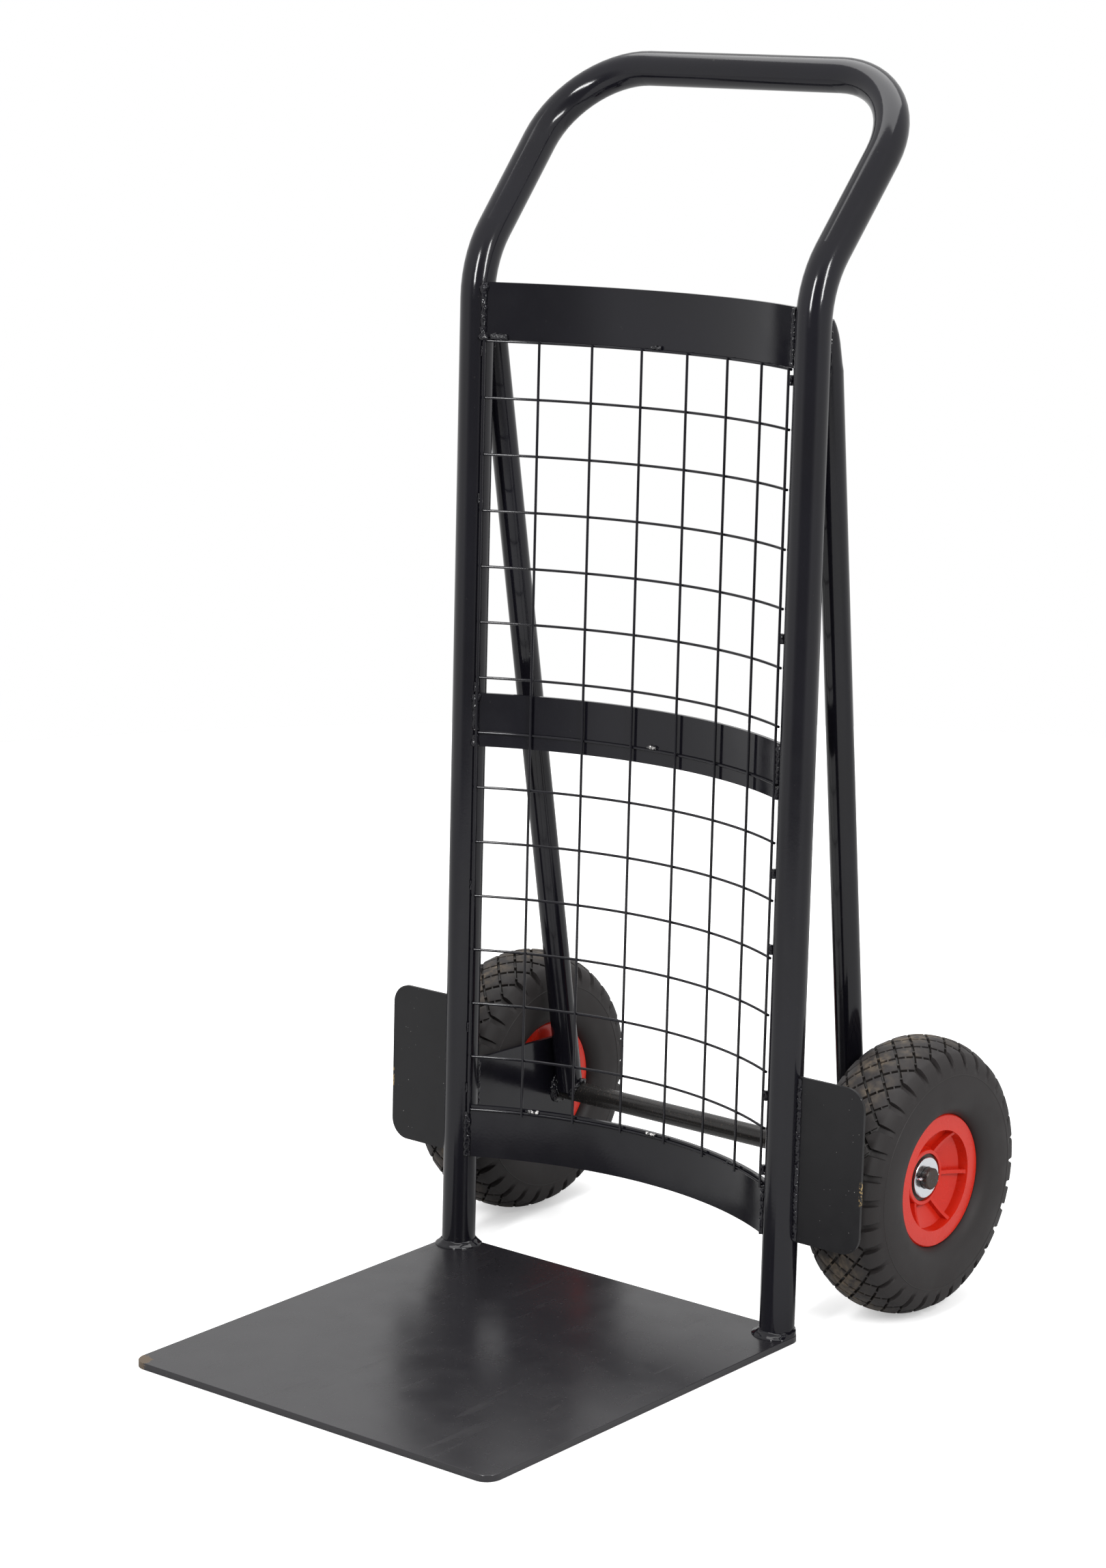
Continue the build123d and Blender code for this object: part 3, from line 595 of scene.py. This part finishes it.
def tyre_mesh(name, centre, phase):
    """Repeats the cell round the tyre, on both sides, and closes it behind the rim."""
    turn, run, cell_faces = cut_cell()
    depth = carve(turn, run)
    offset, radius = carved_section(run, depth)
    # the groove mark: how strongly painted shade darkens the tread grooves, by their depth
    groove = (1 - ramp(run, TREAD_EDGE, TREAD_EDGE + GROOVE_SHADE_FADE)) * np.clip(depth / GROOVE_SHADE_DEPTH, 0, 1)
    crown = np.clip(1 - run / CROWN_END, 0, 1) * (depth < BLOCK_TOP)
    verts, marks, faces, known = [], [], [], {}

    def add_point(side, reach, angle, groove_mark=0.0, crown_mark=0.0):
        verts.append((
            centre.x + side,
            centre.y + reach * math.cos(angle),
            centre.z + reach * math.sin(angle),
        ))
        marks.append((groove_mark, crown_mark))
        return len(verts) - 1

    for hand in (1, -1):
        for pitch in range(PITCHES):
            index = []
            for i in range(len(turn)):
                key = (round((turn[i] + pitch) % PITCHES, 5), round(hand * run[i], 7))
                if key[0] >= PITCHES - 1e-5:
                    key = (0.0, key[1])
                if key not in known:
                    angle = 2 * math.pi * (turn[i] + pitch) / PITCHES + phase
                    known[key] = add_point(hand * offset[i], radius[i], angle, groove[i], crown[i])
                index.append(known[key])
            for face in cell_faces:
                loop = [index[i] for i in face]
                if len(set(loop)) == len(loop):
                    faces.append(loop[::hand])
    end_run = float(run.max())
    for hand in (1, -1):
        rim_keys = sorted(k for k in known if abs(k[1] * hand - end_run) < 1e-6)
        ring = [known[k] for k in rim_keys]
        angles = [2 * math.pi * k[0] / PITCHES + phase for k in rim_keys]
        for side, reach in INNER_WALL:
            if side == 0.0 and hand < 0:
                next_ring = middle_ring
            else:
                next_ring = [add_point(hand * side, reach, angle) for angle in angles]
            for i in range(len(ring)):
                j = (i + 1) % len(ring)
                loop = [ring[i], ring[j], next_ring[j], next_ring[i]]
                faces.append(loop[::hand])
            ring = next_ring
        middle_ring = ring
    mesh = bpy.data.meshes.new(name)
    mesh.from_pydata(verts, [], faces)
    for column, label in enumerate(("groove", "crown")):
        attribute = mesh.attributes.new(label, "FLOAT", "POINT")
        attribute.data.foreach_set("value", [mark[column] for mark in marks])
    mark_sharp(mesh, TYRE_CREASE)
    return mesh


for hand_name, phase_degrees in (("right", 1.6), ("left", 5.0)):
    node = hand_name + "_tyre"
    mesh = tyre_mesh(node + "_mesh", middle_of(node), math.radians(phase_degrees))
    new_piece(node + "_treaded", mesh, tyre_rubber, hand_name + "_wheel", node)


# ---------------------------------------------------------------- welds
AXLE = middle_of("axle")
FOOT_WELD_RADIUS = 13 * MM
BLOB_SIZE = 3.2 * MM
PIT_SIZE = 2.0 * MM
SMOOTH_PASSES = 3


class Bead:
    """How a hand-laid weld differs from its smooth CAD shape.  Sizes are in millimetres.

    Ripples follow each other along run(point).  A blob is (side, height in metres, swell).
    """

    def __init__(self, voxel, lump, lump_size, ripple=0.0, pitch=4.0, run=None, pits=0.0,
                 blobs=()):
        self.voxel = voxel * MM
        self.lump = lump * MM
        self.lump_size = lump_size * MM
        self.ripple = ripple * MM
        self.pitch = pitch * MM
        self.run = run
        self.pits = pits * MM
        self.blobs = blobs

    def lift(self, p, seed):
        """How far the surface is pushed out at a point."""
        shifted = p + Vector((seed, 0.37 * seed, 0))
        total = self.lump * noise.noise(shifted / self.lump_size)
        total += 0.3 * self.lump * noise.noise(shifted * 2.1 / self.lump_size)
        if self.ripple:
            drift = 0.45 * self.pitch * noise.noise(shifted / (2.2 * self.pitch))
            swell = 0.65 + 0.8 * noise.noise(shifted / (3.5 * self.pitch))
            wave = abs(math.sin(math.pi * (self.run(p) + drift) / self.pitch))
            total += self.ripple * swell * (wave - 0.6)
        if self.pits:
            hollow = noise.noise(shifted / PIT_SIZE)
            total -= self.pits * max(0.0, hollow - 0.25) * 2.5
        for side, height, amount in self.blobs:
            away = (p.z - height) / BLOB_SIZE
            if side * p.x > 0:
                total += amount * MM * math.exp(-away * away)
        return total


def weld_mesh(node, bead, seed):
    """A CAD weld remade as a hand-laid bead, uneven all over."""
    stand_in = bpy.data.objects.new("stand_in", frame["nodes"][node].data.copy())
    bpy.context.scene.collection.objects.link(stand_in)
    remesh = stand_in.modifiers.new("remesh", "REMESH")
    remesh.mode = "VOXEL"
    remesh.voxel_size = bead.voxel
    graph = bpy.context.evaluated_depsgraph_get()
    mesh = bpy.data.meshes.new_from_object(stand_in.evaluated_get(graph))
    bpy.data.objects.remove(stand_in)
    mesh.name = node + "_bead"
    work = bmesh.new()
    work.from_mesh(mesh)
    for _ in range(SMOOTH_PASSES):
        bmesh.ops.smooth_vert(work, verts=work.verts, factor=0.5,
                              use_axis_x=True, use_axis_y=True, use_axis_z=True)
    work.normal_update()
    moves = [vertex.co + vertex.normal * bead.lift(vertex.co, seed) for vertex in work.verts]
    for vertex, place in zip(work.verts, moves):
        vertex.co = place
    for face in work.faces:
        face.smooth = True
    work.to_mesh(mesh)
    work.free()
    return mesh


def around_axle(p):
    return math.atan2(p.z - AXLE.z, p.y - AXLE.y) * FOOT_WELD_RADIUS


def up_the_frame(p):
    return p.z


# swellings of the cross plates' beads, where a run starts or stops
upper_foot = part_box("upper_cross_plate")[0].z
middle_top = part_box("middle_cross_plate")[1].z
PLATE_BLOBS = (
    (-1, upper_foot + 3 * MM, 3.6),
    (-1, upper_foot + 49 * MM, 1.2),
    (-1, middle_top - 4 * MM, 1.4),
    (-1, middle_top - 48 * MM, 1.6),
    (1, middle_top - 4 * MM, 0.6),
)
PLATE_BEAD = Bead(0.3, 1.0, 4.6, 0.35, 4.7, up_the_frame, 0.4, PLATE_BLOBS)
GUARD_BEAD = Bead(0.3, 0.6, 5.5, pits=0.9)
BRACKET_BEAD = Bead(0.4, 1.4, 4.6, 0.3, 4.4, up_the_frame, 0.7)
BRACE_TOP_BEAD = Bead(0.35, 0.7, 5.0)
BRACE_FOOT_BEAD = Bead(0.35, 1.6, 4.4, 0.3, 4.2, around_axle, 0.7)

# a weld's place in this table sets its seed
WELDS = (
    ("cross_plate_weld_beads", bead_paint, PLATE_BEAD),
    ("mesh_edge_tack_welds", bead_paint, Bead(0.25, 0.7, 3.4)),
    ("mesh_plate_tack_welds", tack_paint, Bead(0.2, 1.2, 3.4)),
    ("right_guard_weld_seam", bead_paint, GUARD_BEAD),
    ("left_guard_weld_seam", bead_paint, GUARD_BEAD),
    ("right_bracket_weld", bead_paint, BRACKET_BEAD),
    ("left_bracket_weld", bead_paint, BRACKET_BEAD),
    ("right_brace_top_weld", bead_paint, BRACE_TOP_BEAD),
    ("left_brace_top_weld", bead_paint, BRACE_TOP_BEAD),
    ("right_brace_foot_weld", bead_paint, BRACE_FOOT_BEAD),
    ("left_brace_foot_weld", bead_paint, BRACE_FOOT_BEAD),
)
SEED_STEP = 0.17
for number, (node, finish, bead) in enumerate(WELDS):
    mesh = weld_mesh(node, bead, SEED_STEP * number)
    new_piece(node + "_laid", mesh, finish, "frame", node)

# the welds round the feet of the uprights, with their outline as (reach, height) in millimetres
TUBE_RADIUS = 16 * MM
UPRIGHT_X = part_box("right_wheel_guard")[0].x - TUBE_RADIUS
UPRIGHT_FOOT_Y = 0.3 * MM
PLATE_CORNER = 15 * MM
PLATE_MARGIN = 0.3 * MM
COLLAR_OUTLINE = ((6.6, 0.0), (6.6, 0.7), (6.0, 1.3), (5.0, 1.9), (3.4, 2.9), (2.0, 4.1),
                  (0.9, 5.4), (0.1, 5.6), (-0.5, 5.6))
COLLAR_STEPS = 120
COLLAR_CREASE = 60


def on_plate(place, plate_high):
    """The nearest spot to a point that lies on the toe plate, inside its rounded back corner."""
    side = 1 if place.x > 0 else -1
    x = min(side * place.x, plate_high.x - PLATE_MARGIN)
    y = min(place.y, plate_high.y - PLATE_MARGIN)
    corner = Vector((plate_high.x - PLATE_CORNER, plate_high.y - PLATE_CORNER))
    out = Vector((x, y)) - corner
    if out.x > 0 and out.y > 0 and out.length > PLATE_CORNER - PLATE_MARGIN:
        x, y = corner + out.normalized() * (PLATE_CORNER - PLATE_MARGIN)
    return Vector((side * x, y, place.z))


def collar_mesh(node, centre, seed):
    """A foot weld: a glossy lipped fillet round the upright, cut off at the plate's edges."""
    plate_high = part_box("toe_plate")[1]
    verts, faces = [], []
    for i in range(COLLAR_STEPS):
        turn = 2 * math.pi * i / COLLAR_STEPS
        outward = Vector((math.cos(turn), math.sin(turn), 0))
        spread = 1 + 0.13 * noise.noise(outward * 1.6 + Vector((seed, 0, 0)))
        swell = 1 + 0.2 * noise.noise(outward * 2.4 + Vector((0, seed, 0)))
        for reach, height in COLLAR_OUTLINE:
            dimple = 0.25 * noise.noise(outward * 5 + Vector((0, 0, seed + 0.4 * reach)))
            width = reach * spread + dimple * (reach > 0)
            place = on_plate(centre + outward * (TUBE_RADIUS + width * MM), plate_high)
            place.z = plate_high.z + height * swell * MM
            verts.append(place)
    rings = len(COLLAR_OUTLINE)
    for i in range(COLLAR_STEPS):
        for j in range(rings - 1):
            a, b = i * rings + j, (i + 1) % COLLAR_STEPS * rings + j
            faces.append((a, b, b + 1, a + 1))
    mesh = bpy.data.meshes.new(node + "_fillet")
    mesh.from_pydata(verts, [], faces)
    mark_sharp(mesh, COLLAR_CREASE)
    return mesh


for side, hand_name, seed in ((1, "right", 5.0), (-1, "left", 3.0)):
    node = hand_name + "_foot_weld"
    mesh = collar_mesh(node, Vector((side * UPRIGHT_X, UPRIGHT_FOOT_Y, 0)), seed)
    new_piece(node + "_laid", mesh, collar_paint, "frame", node)

# ---------------------------------------------------------------- stage
FLOOR_RADIUS = 2.6
FLOOR_SEGMENTS = 96
FLOOR_DROP = 0.4 * MM
FLOOR_GLOW = 0.4
FLOOR_SEEN = (0.9, 0.9, 0.9)
FLOOR_SEEN_CLOUD = (0.93, 0.93, 0.93)
FLOOR_REFLECTED = (0.5, 0.5, 0.5)


def studio_floor():
    """A pale paper disc, darker in reflections than it looks."""
    mesh = bpy.data.meshes.new("studio_floor")
    work = bmesh.new()
    bmesh.ops.create_circle(work, cap_ends=True, radius=FLOOR_RADIUS, segments=FLOOR_SEGMENTS)
    work.to_mesh(mesh)
    work.free()
    floor = bpy.data.objects.new("studio_floor", mesh)
    floor.location.z = -FLOOR_DROP
    bpy.context.scene.collection.objects.link(floor)
    paper = Shader("floor_paper")
    seen_tone = paper.mix(paper.noise(3.0, 4.0), FLOOR_SEEN, FLOOR_SEEN_CLOUD)
    looked_at = paper.add("ShaderNodeLightPath").outputs["Is Camera Ray"]
    paper.surface.inputs["Emission Color"].default_value = (1, 1, 1, 1)
    paper.join(paper.times(looked_at, FLOOR_GLOW), paper.surface.inputs["Emission Strength"])
    mesh.materials.append(paper.finish(paper.mix(looked_at, FLOOR_REFLECTED, seen_tone), 0.85))


DARK_AZIMUTH = math.radians(-61)
# how squarely a direction faces the dark side, from where it starts to dim to where it is dark
DARK_FROM, DARK_FULL = 0.62, 0.93
ROOM_BRIGHT, ROOM_DARK = 0.86, 0.28


def studio_room():
    """The room: bright all round, darker behind the camera, white where it is seen."""
    world = bpy.data.worlds.new("studio")
    bpy.context.scene.world = world
    world.use_nodes = True
    room = world.node_tree
    background = room.nodes["Background"]
    background.inputs["Color"].default_value = (1, 1, 1, 1)
    direction = room.nodes.new("ShaderNodeTexCoord")
    toward = room.nodes.new("ShaderNodeVectorMath")
    toward.operation = "DOT_PRODUCT"
    toward.inputs[1].default_value = (math.cos(DARK_AZIMUTH), math.sin(DARK_AZIMUTH), 0)
    room.links.new(direction.outputs["Generated"], toward.inputs[0])
    shade = room.nodes.new("ShaderNodeMapRange")
    shade.interpolation_type = "SMOOTHSTEP"
    settings = (DARK_FROM, DARK_FULL, ROOM_BRIGHT, ROOM_DARK)
    for value, socket in zip(settings, list(shade.inputs)[1:]):
        socket.default_value = value
    room.links.new(toward.outputs["Value"], shade.inputs[0])
    seen = room.nodes.new("ShaderNodeLightPath")
    pick = room.nodes.new("ShaderNodeMix")
    pick.data_type = "FLOAT"
    room.links.new(seen.outputs["Is Camera Ray"], pick.inputs[0])
    room.links.new(shade.outputs[0], pick.inputs[2])
    pick.inputs[3].default_value = 1.0
    room.links.new(pick.outputs[0], background.inputs["Strength"])


def soft_box(name, location, target, size, watts):
    light = bpy.data.lights.new(name, "AREA")
    light.shape = "RECTANGLE"
    light.size, light.size_y = size
    light.energy = watts
    lamp = bpy.data.objects.new(name, light)
    lamp.location = location
    lamp.rotation_mode = "QUATERNION"
    lamp.rotation_quaternion = (Vector(target) - Vector(location)).to_track_quat("-Z", "Y")
    lamp.visible_camera = False
    bpy.context.scene.collection.objects.link(lamp)


# the camera of the photograph: its place, its turn from straight ahead and its lens
CAMERA_PLACE = (2.1773, -2.7024, 1.2730)
CAMERA_YAW = math.radians(39.785)
CAMERA_PITCH = math.radians(12.76)
CAMERA_ROLL = math.radians(-0.036)
SENSOR_WIDTH = 36
LENS = 89.98
FAR_CLIP = 100


def photo_camera():
    camera_data = bpy.data.cameras.new("camera")
    camera_data.sensor_width = SENSOR_WIDTH
    camera_data.lens = LENS
    camera_data.clip_end = FAR_CLIP
    camera = bpy.data.objects.new("camera", camera_data)
    camera.location = CAMERA_PLACE
    camera.rotation_mode = "XYZ"
    camera.rotation_euler = (math.pi / 2 - CAMERA_PITCH, CAMERA_ROLL, CAMERA_YAW)
    bpy.context.scene.collection.objects.link(camera)
    bpy.context.scene.camera = camera


studio_floor()
studio_room()
soft_box("overhead_box", (-0.2, 0.6, 2.7), (0, 0, 0.3), (2.4, 1.8), 40)
soft_box("left_strip", (0.53, -2.75, 2.2), (0, 0, 0.95), (0.42, 1.4), 68)
soft_box("right_strip", (2.68, -0.85, 2.05), (0, 0, 0.95), (0.36, 1.3), 48)
photo_camera()
bpy.context.scene.view_settings.view_transform = "Standard"
